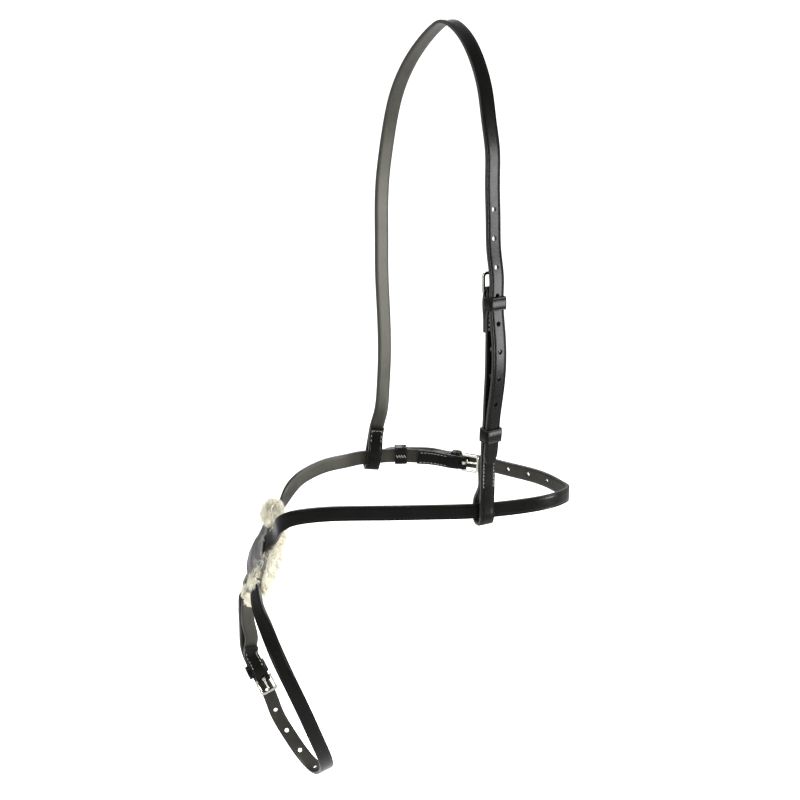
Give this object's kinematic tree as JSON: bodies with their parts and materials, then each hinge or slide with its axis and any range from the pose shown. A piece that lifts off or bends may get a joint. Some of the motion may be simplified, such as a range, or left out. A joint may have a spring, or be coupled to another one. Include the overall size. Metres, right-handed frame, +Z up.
{
  "type": "crossed noseband",
  "caption": "Bitless horse noseband: crossed black leather straps over a sheepskin nose pad, chin loop, jaw loop and headstrap, with pronged buckles.",
  "frame": {"origin": "underside of the headstrap at its highest point, where it lies on the horse's poll", "axes": "+Z up, +X from the nose towards the jaw, +Y towards the far (right-hand) side of the horse"},
  "size_m": [0.2973, 0.1605, 0.6828],
  "materials": {
    "leather": "black bridle leather, waxed grain side, dull flesh side",
    "buckle_metal": "polished stainless steel",
    "sheepskin_wool": "cream sheepskin wool",
    "thread": "black waxed thread"
  },
  "bodies": {
    "headpiece": {"headstrap": "leather", "cheekpiece": "leather", "cheek_fixed_keeper": "leather", "cheek_buckle_stitches": "thread", "near_loop_stitches": "thread", "far_loop_stitches": "thread"},
    "noseband": {"near_nose_strap": "leather", "far_nose_strap": "leather", "jaw_fixed_keeper": "leather", "chin_fixed_keeper": "leather", "sheepskin": "sheepskin_wool", "pad_backing": "leather", "pad_cover": "leather", "pad_tab": "leather", "jaw_buckle_stitches": "thread", "chin_buckle_stitches": "thread", "pad_stitches": "thread"},
    "cheek_frame": {"cheek_buckle_frame": "buckle_metal"},
    "cheek_prong": {"cheek_buckle_prong": "buckle_metal"},
    "jaw_frame": {"jaw_buckle_frame": "buckle_metal"},
    "jaw_prong": {"jaw_buckle_prong": "buckle_metal"},
    "chin_frame": {"chin_buckle_frame": "buckle_metal"},
    "chin_prong": {"chin_buckle_prong": "buckle_metal"},
    "cheek_keeper": {"cheek_running_keeper": "leather", "cheek_keeper_stitches": "thread"},
    "jaw_keeper": {"jaw_running_keeper": "leather", "jaw_keeper_stitches": "thread"}
  },
  "joints": [
    {"name": "noseband_swing", "type": "hinge", "parent": "headpiece", "child": "noseband", "pos_m": [-0.0145, 0.01665, -0.3905], "axis": [-0.5981, 0.8014, 0.0063], "range_deg": [0, 8]},
    {"name": "cheek_frame_turn", "type": "hinge", "parent": "headpiece", "child": "cheek_frame", "pos_m": [0.0353, -0.0555, -0.2], "axis": [0.8354, 0.5496, -0.0108], "range_deg": [-80, 0]},
    {"name": "cheek_prong_lift", "type": "hinge", "parent": "cheek_frame", "child": "cheek_prong", "pos_m": [0.0353, -0.0555, -0.2], "axis": [0.8354, 0.5496, -0.0108], "range_deg": [0, 5]},
    {"name": "jaw_frame_turn", "type": "hinge", "parent": "noseband", "child": "jaw_frame", "pos_m": [0.022, 0.0735, -0.393], "axis": [0.028, -0.0109, 0.9995], "range_deg": [-80, 0]},
    {"name": "jaw_prong_lift", "type": "hinge", "parent": "jaw_frame", "child": "jaw_prong", "pos_m": [0.022, 0.0735, -0.393], "axis": [0.028, -0.0109, 0.9995], "range_deg": [0, 5]},
    {"name": "chin_frame_turn", "type": "hinge", "parent": "noseband", "child": "chin_frame", "pos_m": [-0.165, 0.034, -0.595], "axis": [0.8813, 0.2921, 0.3713], "range_deg": [-80, 0]},
    {"name": "chin_prong_lift", "type": "hinge", "parent": "chin_frame", "child": "chin_prong", "pos_m": [-0.165, 0.034, -0.595], "axis": [0.8813, 0.2921, 0.3713], "range_deg": [0, 5]},
    {"name": "cheek_keeper_slide", "type": "slide", "parent": "headpiece", "child": "cheek_keeper", "axis": [0.0299, -0.0748, 0.9968], "range_m": [-0.006, 0.008]},
    {"name": "jaw_keeper_slide", "type": "slide", "parent": "noseband", "child": "jaw_keeper", "axis": [0.9988, 0.0499, 0], "range_m": [-0.004, 0.001]}
  ]
}
